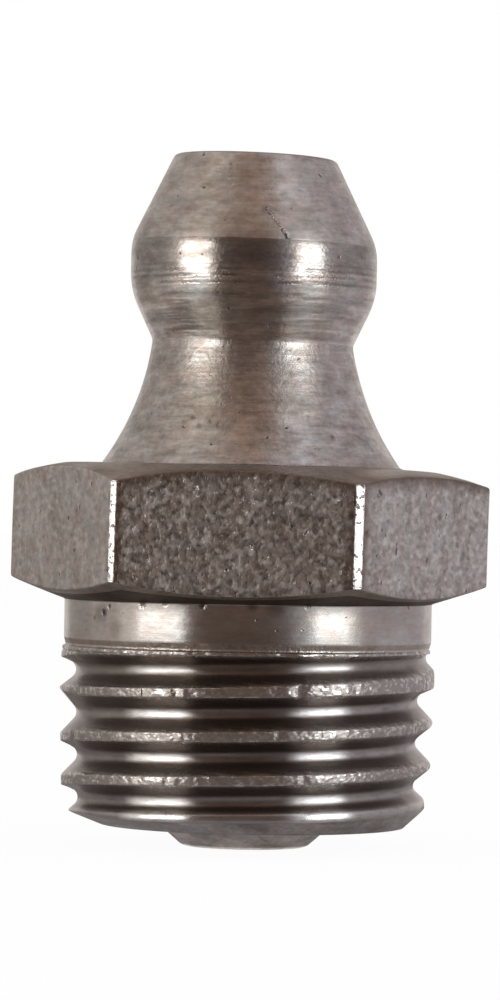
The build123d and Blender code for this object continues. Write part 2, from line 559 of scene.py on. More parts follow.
@dataclass(frozen=True)
class ThreadFinish(SteelFinish):
    """Cut threads: flanks darkened partly by oxide and partly by painted shade, roots and land with a painted
    highlight where the softboxes shine on them, and dull crests that handling has rubbed bright in small spots.

    Attributes:
        root: The bright colour of the rounded root, a painted highlight.
        crest: The colour of the crests between their bright spots.
        land: The bright colour of the land above the end bevel, a painted highlight.
        gains: How much rougher worn crests, their bright spots, the roots with their painted highlight and the land
            are.
    """

    root: Colour = (0.86, 0.845, 0.835)
    crest: Colour = (0.41, 0.375, 0.35)
    land: Colour = (0.74, 0.725, 0.715)
    bright_spots: ClassVar[Pattern] = Pattern((6.0, 6.0, 8.0), 2.2, edges=(0.52, 0.6))
    smears: ClassVar[Pattern] = Pattern((2.5, 2.5, 9.0), 6.1, 3.0, 0.6, edges=(0.3, 0.5))
    fine_lines: ClassVar[Pattern] = Pattern((0.7, 0.7, 14.0), 0.0, 3.0, 0.6)
    nicks: ClassVar[Pattern] = Pattern((4.2, 4.2, 6.5), 8.8, 1.0)
    swirl: ClassVar[float] = 0.0
    line_depth: ClassVar[float] = 0.003
    nick_depth: ClassVar[float] = 0.045
    smear_share: ClassVar[float] = 0.6
    gains: ClassVar[tuple[float, ...]] = (0.12, -0.2, 0.13, -0.1)

    def build(self) -> bpy.types.Material:
        """Make the material.

        Returns:
            The material.
        """
        board = Board(bpy.data.materials.new(self.name))
        # The smooth and land values on the mesh mark the painted highlight on the roots and the land; the flanks keep
        # the dark steel, partly painted shade.
        rubbed, clean, land = (board.attribute(name) for name in ("worn", "smooth", "land"))
        bright = board.times(rubbed, board.patches(self.bright_spots))
        smooth = board.times(clean, board.patches(self.smears, self.smear_share, 1.0))
        worn = board.maths("SUBTRACT", rubbed, clean, clamp=True)
        colour, rough = self.clouded(board)
        root = board.blend(land, self.root, self.land)
        for share, steel in ((smooth, root), (worn, self.crest), (bright, self.rubbed)):
            colour = board.blend(share, colour, steel)
        for share, gain in zip((worn, bright, smooth, land), self.gains):
            rough = board.plus(rough, board.times(share, gain))
        normal = board.bumped(board.noise(self.fine_lines), self.line_depth)
        normal = board.bumped(board.times(board.noise(self.nicks), worn), self.nick_depth, normal)
        return self.shaded(board, colour, rough, normal)


def finishes() -> dict[Surface, SteelFinish]:
    """List the body's finishes.

    Returns:
        The finish of each surface.
    """
    return {
        Surface.PASSAGE: SteelFinish("bored_steel", (0.3, 0.28, 0.27), (0.16, 0.14, 0.13), (0.4, 0.55)),
        Surface.HEAD_FACE: SteelFinish("faced_steel", roughness=(0.3, 0.42), grain=Marks((5, 5, 5), 0.003)),
        Surface.HEAD_CONE: SteelFinish(
            "turned_cone_steel", (0.62, 0.585, 0.567), (0.455, 0.405, 0.375), roughness=(0.28, 0.38),
            cloud=(1.6, 1.6, 2.2), lines=Marks((0.35, 0.35, 14.0), 0.003, 0.12),
            grain=Marks((6, 6, 5), 0.008, 0.15, detail=3.0), spots=Marks((4, 4, 5), 0.01, 0.7, level=0.72),
            pits=(
                Pit(224, 2.9, 10.7, 0.08, 0.7), Pit(226, 2.75, 10.62, 0.05, 0.6),
                Pit(252, 2.85, 10.2, 0.05, 0.6), Pit(279.0, 2.86, 10.2, 0.16, 0.25),
            ),
            scratches=(Scratch(Pit(279.6, 2.86, 10.24, 0.0), Pit(290.0, 3.27, 9.4, 0.0), 0.12, 0.85),),
            stretch=0.2, mottle=0.24,
        ),
        Surface.HEAD_BALL: SteelFinish(
            "turned_ball_steel", (0.73, 0.689, 0.665), (0.545, 0.485, 0.45), roughness=(0.17, 0.28),
            cloud=(1.2, 1.2, 4.0), lines=Marks((0.25, 0.25, 3.5), 0.037, 0.4, detail=2.0, fade=(9.0, 8.6)),
            grain=Marks((7, 7, 9), 0.0055, 0.15, detail=3.0), spots=Marks((4, 4, 5), 0.01, 0.7, level=0.72),
            pits=(
                Pit(205, 3.27, 9.0, 0.09, 0.8), Pit(203, 3.27, 8.75, 0.07, 0.7), Pit(226, 3.2, 8.35, 0.08, 0.6),
                Pit(233, 3.1, 8.05, 0.08, 0.6), Pit(222, 2.9, 7.2, 0.09, 0.7), Pit(246, 2.95, 7.3, 0.07, 0.6),
                Pit(300, 3.27, 9.25, 0.12, 0.3),
            ),
            tool_lines=(
                ToolLine(8.82, 0.045, 0.22), ToolLine(8.66, 0.06, 0.36), ToolLine(8.51, 0.055, 0.4),
                ToolLine(8.33, 0.055, 0.35), ToolLine(8.02, 0.05, 0.3),
            ),
            stretch=0.25, mottle=0.26,
        ),
        Surface.FLARE: SteelFinish(
            "turned_flare_steel", (0.63, 0.595, 0.575), (0.46, 0.41, 0.38), roughness=(0.26, 0.36),
            cloud=(1.5, 1.5, 2.5), lines=Marks((0.35, 0.35, 12.0), 0.004, 0.15),
            grain=Marks((7, 7, 6), 0.01, 0.2, detail=3.0), spots=Marks((5, 5, 6), 0.01, 0.7, level=0.72),
            pits=(
                Pit(242, 3.35, 4.68, 0.13, 0.4), Pit(246, 3.3, 4.8, 0.1, 0.5), Pit(250, 3.4, 4.6, 0.12, 0.4),
                Pit(255, 3.35, 4.7, 0.1, 0.5), Pit(259, 3.4, 4.6, 0.1, 0.4), Pit(301, 3.3, 4.9, 0.12, 0.4),
                Pit(311, 3.5, 4.35, 0.12, 0.5),
            ),
            stretch=0.25, mottle=0.28,
        ),
        Surface.CHAMFER: SteelFinish(
            "chamfer_steel", (0.47, 0.415, 0.38), (0.27, 0.22, 0.19), roughness=(0.34, 0.46),
            grain=Marks((8, 8, 7), 0.03, 0.35, detail=2.5), patchy=True,
        ),
        # painted shade: near-black steel for the inner part of the hexagon's lower chamfer, next to the collar
        Surface.UNDERSIDE: SteelFinish(
            "underside_steel", (0.13, 0.105, 0.09), (0.07, 0.052, 0.043), roughness=(0.4, 0.5),
            grain=Marks((8, 8, 7), 0.02, 0.35, detail=2.5),
        ),
        Surface.FLATS: SteelFinish(
            "drawn_steel", (0.64, 0.605, 0.585), (0.48, 0.43, 0.4), roughness=(0.34, 0.46),
            cloud=(1.2, 1.2, 0.8), grain=Marks((8, 3, 6), 0.026, 0.7, detail=2.0),
            spots=Marks((5.0, 5.0, 4.0), 0.02, 0.7, level=0.69), flecks=Marks((6, 2.5, 5), 0.0, 0.9, level=0.5),
            pits=(
                Pit(324, 5.6, 1.9, 0.12, 0.5), Pit(331, 5.52, 1.2, 0.1, 0.6), Pit(337, 5.55, 2.3, 0.12, 0.5),
                Pit(340, 5.58, 0.9, 0.09, 0.6), Pit(346, 5.75, 1.6, 0.12, 0.5),
            ),
            patchy=True,
        ),
        Surface.COLLAR: SteelFinish(
            "polished_collar_steel", (0.53, 0.5, 0.485), (0.45, 0.415, 0.39), roughness=(0.18, 0.24),
            lines=Marks((0.3, 0.3, 7.0), 0.0012, 0.08), grain=Marks((4, 4, 4), 0.003, 0.12, detail=3.0),
            spots=Marks((4, 4, 6), 0.01, 0.7, level=0.74),
            pits=(
                Pit(248, 4.88, -0.02, 0.1, 0.6), Pit(275, 4.88, -0.02, 0.2, 0.5),
                Pit(282, 4.88, -0.05, 0.3, 0.35), Pit(292, 4.88, -0.02, 0.1, 0.5),
                Pit(224, 4.88, -0.3, 0.13, 0.9), Pit(222, 4.88, -0.33, 0.34, 0.4),
                Pit(219, 4.88, -0.44, 0.08, 0.6), Pit(226.5, 4.88, -0.14, 0.08, 0.7),
                Pit(240, 4.88, -0.03, 0.15, 0.8), Pit(260, 4.88, -0.03, 0.13, 0.7),
                Pit(229, 4.88, -0.7, 0.3, 0.25),
            ),
            stretch=0.2, mottle=0.12,
        ),
        # Very dark steel for the flanks: partly oxide, partly painted shade in the grooves. The roots and the land
        # get a painted highlight.
        Surface.THREAD: ThreadFinish(
            "thread_steel", (0.21, 0.177, 0.16), (0.122, 0.099, 0.086), (0.22, 0.34), rubbed=(0.59, 0.57, 0.55),
            stretch=0.8,
        ),
        Surface.BEVEL: SteelFinish(
            "end_bevel_steel", (0.52, 0.49, 0.485), (0.32, 0.28, 0.265), roughness=(0.3, 0.42),
            lines=Marks((0.4, 0.4, 12.0), 0.004, 0.15), grain=Marks((7, 7, 7), 0.015, 0.3, detail=2.5),
            mottle=0.25,
        ),
        Surface.CRIMP: SteelFinish(
            "crimped_steel", roughness=(0.32, 0.44), grain=Marks((7, 7, 7), 0.012, 0.2, detail=3.0),
            scratches=(Scratch(Pit(284, 2.15, -6.1, 0.0), Pit(297, 1.85, -6.38, 0.0), 0.08, 0.6),), mottle=0.35,
        ),
    }


# --------------------------------------------------------------------------- shapes
@dataclass
class Knot:
    """One corner of the body's outline, which may differ from angle to angle.

    Attributes:
        radius: Distance from the axis, one number or one for each column.
        height: Height above the hexagon's underside.
        rings: Rings from here to the next corner.
        surface: What the stretch from here to the next corner is.
        soft: How far along both stretches the corner's rounding reaches.
        sway: How much of the hexagon's tilt it takes part in.
    """

    radius: "Array | float"
    height: "Array | float"
    rings: int
    surface: Surface
    soft: float = 0.0
    sway: float = 0.0


def random_line(place: Array, seed: int) -> Array:
    """Give smooth random numbers from 0 to 1 along a line.

    Args:
        place: Places along it, one random number a unit.
        seed: Which line.

    Returns:
        The number at each place.
    """
    table = np.random.default_rng(seed).random(RANDOM_NUMBERS)
    low = np.floor(place).astype(int)
    part = place - low
    part = part * part * (3 - 2 * part)
    return table[low % len(table)] * (1 - part) + table[(low + 1) % len(table)] * part


def soft_min(a: Array, b: "Array | float", reach: float) -> Array:
    """Take the smaller of two values, with a corner rounded over a reach where they meet."""
    return 0.5 * (a + b - np.sqrt((a - b) ** 2 + reach**2))


def unit(value: Array) -> Array:
    """Keep values from 0 to 1."""
    return np.clip(value, 0, 1)


def bell(value: Array, middle: "Array | float", width: "Array | float", power: int = 2) -> Array:
    """Give 1 in the middle, falling smoothly to 0 beyond the width."""
    return np.exp(-(((value - middle) / width) ** power))


def rightness(angle: Array) -> Array:
    """Give 1 on the right of the nipple and 0 on its left."""
    return 0.5 + 0.5 * np.cos(angle)


def from_front(azimuth: float, radius: float, height: float) -> Triple:
    """Find a place by its azimuth in degrees from the front, its distance from the axis and its height."""
    return radius * math.sin(math.radians(azimuth)), -radius * math.cos(math.radians(azimuth)), height


def quads(rows: int, columns: int, loop: bool = False, strip: bool = False, reverse: bool = False) -> Array:
    """List the faces of a net of points.

    Args:
        rows: Rows of points.
        columns: Points in each row.
        loop: True to join the last row to the first.
        strip: True to leave the rows open, False to close them to rings.
        reverse: True to wind the faces the other way round.

    Returns:
        The four points of each face.
    """
    index = np.arange(rows * columns).reshape(rows, columns)
    if loop:
        index = np.vstack([index, index[:1]])
    if not strip:
        index = np.hstack([index, index[:, :1]])
    corners = [index[:-1, :-1], index[1:, :-1], index[1:, 1:], index[:-1, 1:]]
    faces = np.stack(corners, axis=2).reshape(-1, 4)
    return faces[:, [0, 3, 2, 1]] if reverse else faces


def add_mesh(
    name: str, points: "Array | list", faces: list, materials: list[bpy.types.Material], flat: bool = True
) -> bpy.types.Object:
    """Add a mesh to the scene.

    Args:
        name: Its name.
        points: Its points, in metres.
        faces: The points of each face.
        materials: Its materials, in order.
        flat: False to shade it smooth.

    Returns:
        The new object.
    """
    mesh = bpy.data.meshes.new(name)
    mesh.from_pydata(np.asarray(points, float).tolist(), [], faces, shade_flat=flat)
    for material in materials:
        mesh.materials.append(material)
    return link(name, mesh)


def link(name: str, data: bpy.types.ID) -> bpy.types.Object:
    """Put an object into the scene.

    Args:
        name: Its name.
        data: Its mesh, lamp or camera.

    Returns:
        The new object.
    """
    made = bpy.data.objects.new(name, data)
    bpy.context.scene.collection.objects.link(made)
    return made


@dataclass
class Thread:
    """The right-hand thread on the shank, as a radius for each angle and height. Sizes in millimetres.

    Attributes:
        burr_ragged: Lowest and highest share of the burr's height, along its ragged edge.
        burr_right: How much of its height it keeps on the right.
        crests: Place in turns above the run-out, width of the flat, and drop, at points along the crest.
        edge_rings: How many more rings there are at the thread's edges, and over what height, as in the next three.
        clean_angles: Angles in degrees for the shares below.
        clean_shares: How much painted highlight the roots and the land get at each of them, most where the softboxes
            shine.
    """

    collar_radius: float = 4.88
    collar_foot: float = -1.02
    collar_end: float = -1.2
    undercut: float = 0.06
    burr_height: float = 0.085
    burr_place: float = -1.29
    burr_width: float = 0.075
    burr_ragged: tuple[float, float] = (0.6, 1.4)
    burr_right: float = 0.4
    lip_height: float = 0.06
    lip_loss: float = 0.07
    crest_radius: float = 5.01
    taper: float = 1 / 32
    pitch: float = 1.13
    depth: float = 0.44
    crests: tuple[Triple, ...] = (
        (-2.1, 0.22, 0.04), (-1.99, 0.26, 0.12), (-1.88, 0.22, 0.04), (-1.56, 0.22, 0.03), (-1.49, 0.05, 0.03),
        (-1.42, 0.22, 0.03), (-1.1, 0.22, 0.04), (-0.99, 0.2, 0.11), (-0.88, 0.22, 0.04), (-0.56, 0.22, 0.03),
        (-0.49, 0.05, 0.03), (-0.42, 0.22, 0.03), (-0.07, 0.22, 0.0), (0.01, 0.04, -0.08), (0.09, 0.22, 0.0),
        (0.26, 0.24, 0.03), (0.4, 0.24, 0.05), (0.51, 0.24, 0.1), (1.03, 0.24, 0.1), (1.1, 0.24, 0.0),
        (1.42, 0.24, 0.0), (1.5, 0.24, 0.1),
    )
    root_arc: float = 0.25
    edge_softness: float = 0.02
    lean: float = 0.05
    runout_height: float = -2.516
    runout_start: float = 0.7
    runout_climb: float = 0.8
    shoulder_steepness: float = 3.0
    grooves: tuple[int, ...] = (-4, -3, -2, -1, 0, 1)
    end_height: float = -5.93
    end_radius: float = 3.887
    end_sway: float = 0.35
    end_land_height: float = -5.1
    end_land_radius: float = 4.66
    end_land_gain: float = 0.09
    end_land_slope: float = 0.1
    end_softness: float = 0.05
    bevel_left: float = 2.6
    bevel_right: float = 1.08
    # angles where the roots and the land get their painted highlight, where the softboxes shine on them
    clean_angles: tuple[float, ...] = (0, 229, 235, 252, 257, 287, 292, 306, 311, 360)
    clean_shares: tuple[float, ...] = (0.2, 0.2, 1.0, 1.0, 0.16, 0.16, 1.0, 1.0, 0.3, 0.3)
    worn_reach: float = 0.11
    worn_sway: float = 0.045
    dull_land: float = 0.2
    first_root: float = -1.6
    first_share: float = 0.5
    worn_burr: float = 1.6
    clean_width: float = 0.08
    clean_core: float = 1.8
    land_reach: float = 0.1
    lip_reach: float = 0.35
    lip_gap: float = 0.03
    nick_step: float = 0.006
    nick_depth: float = 0.04
    nick_share: float = 0.25
    roughness: float = 0.01
    rings: int = 122
    places: int = 900
    edge_rings: tuple[float, float] = (6.0, 0.035)
    root_rings: tuple[float, float] = (2.2, 0.13)
    burr_rings: tuple[float, float] = (8.0, 0.06)
    bevel_rings: tuple[float, float] = (3.0, 0.16)
    bevel_lead: float = 0.1
    bevel_shares: tuple[float, ...] = (0.12, 0.25, 0.45, 0.7, 1.0)

    @property
    def top(self) -> float:
        """Height of the first crest, under the lip."""
        return self.burr_place - self.lip_gap - self.lip_height

    def crest(self, height: Array) -> Array:
        """Give the tapered radius over the crests at a height, a little less right under the lip."""
        loss = self.lip_loss * bell(height, self.top, self.lip_reach)
        return self.crest_radius + (height - self.top) * self.taper - loss

    def crest_shape(self, turns: Array) -> tuple[Array, Array]:
        """Give the width and the drop of the crest at places in turns above the run-out."""
        places, widths, drops = zip(*self.crests)
        return np.interp(turns, places, widths), np.interp(turns, places, drops)

    def blank(self, angle: Array, height: Array) -> Array:
        """Give the shank before the groove is cut, with the burr that the die threw up at its end.

        Args:
            angle: The points' angles.
            height: Their heights.

        Returns:
            The radius at each point.
        """
        foot = self.collar_radius - self.undercut
        lip = unit((self.top + self.lip_height - height) / self.lip_height)
        ragged = np.interp(random_line(angle / TURN / self.nick_step, 11), (0, 1), self.burr_ragged)
        left = self.burr_right + (1 - self.burr_right) * np.abs(np.sin(angle / 2))
        burr = self.burr_height * ragged * left * bell(height, self.burr_place, self.burr_width, 4)
        return foot + np.maximum(burr, lip * (self.crest(np.minimum(height, self.top)) - foot))

    def groove_height(self, angle: Array, turn: int) -> Array:
        """Give the height of one turn of the groove at each angle."""
        return self.runout_height + self.pitch * (turn + angle / TURN) - self.lean * np.cos(angle)

    def root(self, angle: Array, turn: int) -> Array:
        """Give the groove's root radius at each angle of one turn. It climbs from turn 0, the run-out's first one."""
        climb = self.runout_climb * np.clip(turn + angle / TURN - self.runout_start, 0, None)
        return self.crest(self.groove_height(angle, turn)) - self.depth + climb

    def wall(self, angle: Array, height: Array, turn: int) -> Array:
        """Give the radius of one turn of the groove: a round root, and straight flanks that differ a little.

        Args:
            angle: The angles.
            height: The heights.
            turn: Which turn.

        Returns:
            The radius at each point, also beyond the crests.
        """
        away = height - self.groove_height(angle, turn)
        width, drop = self.crest_shape(turn + angle / TURN + 0.5 * np.sign(away))
        half = (self.pitch - width) / 2 - drop * np.sign(away)
        arc, above = self.root_arc, self.depth - self.root_arc
        square = half**2 - arc**2
        steepness = (half * above + np.sqrt(half**2 * above**2 - square * (above**2 - arc**2))) / square
        reach = arc * steepness / np.sqrt(1 + steepness**2)
        away = np.abs(away)
        rounded = arc - np.sqrt(np.clip(arc**2 - away**2, 0, None))
        flank = arc * (1 - 1 / np.sqrt(1 + steepness**2)) + (away - reach) * steepness
        shoulder = np.clip(height - self.burr_place + self.lip_gap, 0, None) * self.shoulder_steepness * steepness
        return self.root(angle, turn) + np.where(away < reach, rounded, flank) + shoulder

    def nicks(self, angle: Array, height: Array) -> Array:
        """Give how far knocks have pushed the crests in.

        Args:
            angle: The points' angles.
            height: Their heights.

        Returns:
            The loss of radius at each point.
        """
        turn = angle / TURN + np.floor((height - self.groove_height(angle, 0)) / self.pitch)
        knocks = unit((random_line(turn / self.nick_step, 4) - 1) / self.nick_share + 1)
        rough = random_line(turn / (self.nick_step / 2), 5)
        return self.nick_depth * knocks**2 + self.roughness * rough

    def radius(self, angle: Array, height: Array) -> Array:
        """Give the threaded shank.

        Args:
            angle: The points' angles.
            height: Their heights.

        Returns:
            The radius at each point.
        """
        threaded = unit((self.top - height) / self.lip_height)
        result = self.blank(angle, height) - threaded * self.nicks(angle, height)
        for turn in self.grooves:
            result = soft_min(result, self.wall(angle, height, turn), self.edge_softness)
        land = self.land_radius(angle) + (self.end_land_height - height) * self.end_land_slope
        land = np.where(height < self.end_land_height, land, self.crest_radius + 1)
        result = soft_min(result, land, self.edge_softness)
        radius, slope = self.bevel(angle)
        return soft_min(result, radius + (height - self.end_height) * slope, self.end_softness)

    def land_radius(self, angle: Array) -> Array:
        """Give the radius of the land above the end bevel at each angle."""
        return self.end_land_radius + self.end_land_gain * rightness(angle) ** 2

    def bevel(self, angle: Array) -> tuple[Array, Array]:
        """Give the end face's radius at each angle, and how fast the bevel above it widens."""
        right = rightness(angle)
        return self.end_radius + self.end_sway * right, self.bevel_left + (self.bevel_right - self.bevel_left) * right

    def bevel_top(self, angle: float) -> float:
        """Find where the bevel starts.

        Args:
            angle: The angle.

        Returns:
            The height, at that angle.
        """
        radius, slope = self.bevel(np.float64(angle))
        flat = self.land_radius(np.float64(angle)) + (self.end_land_height - self.end_height) * self.end_land_slope
        return float(self.end_height + (flat - radius) / (slope + self.end_land_slope))

    def heights(self, angle: float) -> Array:
        """Place the rings at one angle, closer together where the thread has its edges.

        Args:
            angle: The angle.

        Returns:
            The rings' heights, from the collar's end down to the bevel.
        """
        bevel_top = self.bevel_top(angle)
        fine = np.linspace(self.collar_end, bevel_top, self.places)
        crowds = [(self.burr_place, *self.burr_rings), (bevel_top + self.bevel_lead, *self.bevel_rings)]
        for turn in self.grooves:
            middle = self.groove_height(np.float64(angle), turn)
            crowds.append((middle, *self.root_rings))
            for side in (-1, 1):
                width, drop = self.crest_shape(np.float64(turn + angle / TURN + 0.5 * side))
                crowds.append((middle + side * (self.pitch - width) / 2 - drop, *self.edge_rings))
        density = 1 + sum(gain * bell(fine, place, reach) for place, gain, reach in crowds)
        total = np.concatenate([[0.0], np.cumsum(density)[:-1]])
        return np.interp(np.linspace(0, total[-1], self.rings), total, fine)

    def knots(self, angles: Array) -> list[Knot]:
        """Lay the rings of the thread and of the bevel.

        Args:
            angles: The columns' angles.

        Returns:
            One knot for each ring.
        """
        heights = np.array([self.heights(a) for a in angles]).T
        tops = np.array([self.bevel_top(a) for a in angles])
        bevel = np.array([tops + (self.end_height - tops) * share for share in self.bevel_shares])
        made = []
        for rows, surface in ((heights, Surface.THREAD), (bevel, Surface.BEVEL)):
            radii = self.radius(angles[None, :], rows)
            made += [Knot(r, h, 1, surface) for r, h in zip(radii, rows)]
        return made

    def worn(self, angle: Array, height: Array, radius: Array) -> Array:
        """Give how much handling has rubbed the thread, with a painted highlight that widens the rubbed crests on the
        right.

        Args:
            angle: The points' angles.
            height: Their heights.
            radius: Their radii.

        Returns:
            The share, from 0 in the groove to 1 on the crests and the burr.
        """
        # the reach grows on the right and shrinks on the left: a painted highlight on the right-hand crests
        reach = self.worn_reach + self.worn_sway * np.cos(angle)
        crests = unit(1 - (self.crest(height) - radius) / reach)
        burr = unit(self.worn_burr - np.abs(height - self.burr_place) / self.burr_width)
        return np.where(height > self.collar_end, 0.0, np.maximum(crests, burr))

    def clean(self, angle: Array) -> Array:
        """Give how much painted highlight the roots and the land get at each angle, up to 1."""
        return np.interp(np.degrees(angle), self.clean_angles, self.clean_shares)

    def smooth(self, angle: Array, height: Array) -> Array:
        """Give the painted highlight on the groove's rounded root.

        Args:
            angle: The points' angles.
            height: Their heights.

        Returns:
            The share, up to 1 at the angles where the softboxes shine, less in the first groove, and 0 on the flanks.
        """
        away = np.min([np.abs(height - self.groove_height(angle, turn)) for turn in self.grooves], axis=0)
        below = unit(self.first_share + (self.first_root - height) * (1 - self.first_share))
        return unit(self.clean_core - away / self.clean_width) * (self.clean(angle) * below)

    def land(self, angle: Array, height: Array, radius: Array) -> Array:
        """Give up to 1 on the bright land above the end bevel, most at the angles where the softboxes shine, as a
        painted highlight, and 0 from where the last groove starts.
        """
        share = unit(1 - (self.land_radius(angle) - radius) / self.land_reach) * (height < self.end_land_height)
        return share * (self.dull_land + (1 - self.dull_land) * self.clean(angle))


@dataclass
class Piece:
    """A piece of the real object, dressed to stand for its CAD node. Sizes in millimetres.

    Attributes:
        node: The CAD node's name.
        body: The rigid body that it belongs to.
        slot: Its material slot; not used.
    """

    node: str
    body: str
    slot: str

    def build(self) -> bpy.types.Object:
        """Make the piece's mesh and materials."""
        raise NotImplementedError

    def dress(self) -> bpy.types.Object:
        """Build the piece and let it stand for its CAD node.

        Returns:
            The new object.
        """
        piece = self.build()
        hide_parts(self.node)
        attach(piece, self.body)
        log.info("%s: %d faces", piece.name, len(piece.data.polygons))
        return piece


@dataclass
class NippleBody(Piece):
    """The body, turned in one piece from hexagon bar. Heights from the hexagon's underside.

    Attributes:
        corner_columns: Extra columns beside each corner, in degrees from it.
        corner_trims: How much is trimmed off each corner, anticlockwise from the right-hand one.
        coarseness: How strong the grain is on each flat, in the same order.
        stained_rim: How far the painted shade, a dark brown line at the chamfer's lower edge, reaches down and up.
        stain_start: Where that painted shade starts, in degrees, which is also where the top chamfer is deepest.
        thread: The thread below the collar.
    """

    node: str = "nipple_body"
    body: str = "nipple"
    slot: str = "body_steel"
    columns: int = 264
    corner_columns: tuple[float, ...] = (0.3, 0.5, 0.7, 0.9, 1.08, 1.3)
    half_flats: float = 5.5
    corner_trims: tuple[float, ...] = (0.015, 0.035, 0.05, 0.0, 0.035, 0.058)
    coarseness: tuple[float, ...] = (0.6, 0.9, 0.6, 0.45, 1.0, 0.55)
    corner_softness: float = 0.008
    hexagon_height: float = 3.56
    hexagon_top_radius: float = 4.9
    top_slope: float = 16.5
    top_slope_loss: float = 4.0
    top_slope_gain: float = 3.5
    base_slope: float = 18.2
    base_slope_gain: float = 2.7
    top_crown: float = 0.03
    base_crown: float = 0.008
    hexagon_tilt: float = 1.2
    base_sway: float = 0.55
    stub_face: float = -6.5
    stub_base_radius: float = 2.3
    stub_face_radius: float = 1.65
    crimp_hole: float = 0.75
    crimp_thickness: float = 0.35
    neck_height: float = 6.86
    neck_radius: float = 2.66
    flare_radius: float = 4.0
    flare_start: float = 8.0
    head_radius: float = 3.27
    back_angle: float = 25.25
    back_radius: float = 2.1
    land: float = 0.86
    front_angle: float = 26.05
    face_radius: float = 2.14
    head_lean: float = 1.25
    face_slant: float = 0.4
    bore_radius: float = 1.35
    opening_radius: float = 1.0025
    seat_top: float = 11.1126
    seat_base: float = 10.5108
    bend_reach: float = 0.8
    rubbed_reach: float = 0.03
    stain_place: float = 0.1
    stain_width: float = 0.12
    stained_rim: tuple[float, float] = (0.12, 0.04)
    stain_start: float = 240.0
    deep_width: float = 14.0
    rim_soft: float = 0.07
    flat_rings: int = 10
    tilt_start: float = 0.6
    mouth_chamfer: float = 0.1
    slant_start: float = 0.05
    longest_rounding: float = 0.45
    rounding_shares: tuple[float, ...] = (0.0, 0.25, 0.5, 0.75)
    top_shares: tuple[float, ...] = (0.3, 0.6, 1.0)
    base_shares: tuple[float, ...] = (1.0, 0.65, 0.3)
    thread: Thread = field(default_factory=Thread)

    def angles(self) -> Array:
        """Place the columns, with more of them at the hexagon's corners.

        Returns:
            Their angles in radians, rising.
        """
        even = np.arange(self.columns) * TURN / self.columns
        steps = [side * step for step in self.corner_columns for side in (-1, 1)]
        extra = [math.radians(60 * corner + step) for corner in range(6) for step in steps]
        return np.unique(np.round(np.mod(np.concatenate([even, extra]), TURN), 9))

    @property
    def half_corners(self) -> float:
        """Half the hexagon's width over its untrimmed corners."""
        return self.half_flats / math.cos(SIXTH / 2)

    def corners(self, angle: Array) -> tuple[Array, Array, Array]:
        """Give each angle's nearest corner, the angle from there, and how much of that corner is trimmed off."""
        corner = np.round(angle / SIXTH).astype(int)
        return corner, angle - corner * SIXTH, np.array(self.corner_trims)[corner % 6]

    def wall(self, angle: Array) -> Array:
        """Give the hexagon, with its corners rounded.

        Args:
            angle: The angles.

        Returns:
            The radius at each.
        """
        _, away, trim = self.corners(angle)
        flat = self.half_flats / np.cos(SIXTH / 2 - np.abs(away))
        return soft_min(flat, (self.half_corners - trim) / np.cos(away), self.corner_softness)

    def from_trim(self, angle: Array) -> Array:
        """Give how far along the flat each angle is from the edge of its corner's trim."""
        _, away, trim = self.corners(angle)
        return np.abs(away) * self.half_corners - trim * math.tan(SIXTH)

    def rubbed_edge(self, angle: Array) -> Array:
        """Give 1 on the hexagon's trimmed corners and 0 away from them."""
        return unit(1 - self.from_trim(angle) / self.rubbed_reach)

    def stained_edge(self, angle: Array) -> Array:
        """Mark the brown stain on the front flat, just inside its two corners.

        Args:
            angle: The angles.

        Returns:
            1 in the stain and 0 away from there.
        """
        corner, away, _ = self.corners(angle)
        front = (corner == 4) & (away > 0) | (corner == 5)
        return front * bell(self.from_trim(angle), self.stain_place, self.stain_width)

    def chamfer(self, inner: float, slope: Array, crown: float, angle: Array, share: float) -> tuple[Array, Array]:
        """Give a place on a crowned chamfer.

        Args:
            inner: The radius where the chamfer starts.
            slope: Its mean slope in degrees, at each angle.
            crown: How far it bulges from a straight cone.
            angle: The columns' angles.
            share: How far out along it, from 0 to 1.

        Returns:
            The radius, and the fall from the end plane.
        """
        out = (self.wall(angle) - inner) * share
        part = out / (self.half_corners - inner)
        return inner + out, np.tan(np.radians(slope)) * out - 4 * crown * part * (1 - part)

    def neck_arc(self, count: int) -> list[tuple[float, float]]:
        """Give points on the flare, an arc that leaves the groove at a set lean.

        Args:
            count: How many steps.

        Returns:
            Radius and height of each point, from the groove down to the hexagon.
        """
        lean = math.radians(self.flare_start)
        start = Vector((self.neck_radius, self.neck_height))
        end = Vector((self.flare_radius, self.hexagon_height))
        side = Vector((math.cos(lean), math.sin(lean)))
        chord = end - start
        radius = chord.length_squared / (2 * chord.dot(side))
        centre = start + side * radius
        first, last = (math.atan2(p.y - centre.y, p.x - centre.x) for p in (start, end))
        turn = (last - first) % TURN
        steps = [first + turn * i / count for i in range(count + 1)]
        return [(centre.x + radius * math.cos(a), centre.y + radius * math.sin(a)) for a in steps]

    def back_arc(self, count: int) -> list[tuple[float, float]]:
        """Give points on the blend from the land to the cone behind the head.

        Args:
            count: How many steps.

        Returns:
            Radius and height of each point, from the land downwards.
        """
        steps = [math.radians(self.back_angle) * i / count for i in range(count + 1)]
        reach, middle = self.back_radius, self.head_radius - self.back_radius
        return [(middle + reach * math.cos(a), self.land_height - reach * math.sin(a)) for a in steps]

    @property
    def land_height(self) -> float:
        """Height of the land's lower end."""
        back = math.radians(self.back_angle)
        drop = self.back_radius * (1 - math.cos(back))
        cone = (self.head_radius - self.neck_radius - drop) / math.tan(back)
        return self.neck_height + cone + self.back_radius * math.sin(back)

    @property
    def face_height(self) -> float:
        """Height of the head's face."""
        cone = (self.head_radius - self.face_radius) / math.tan(math.radians(self.front_angle))
        return self.land_height + self.land + cone

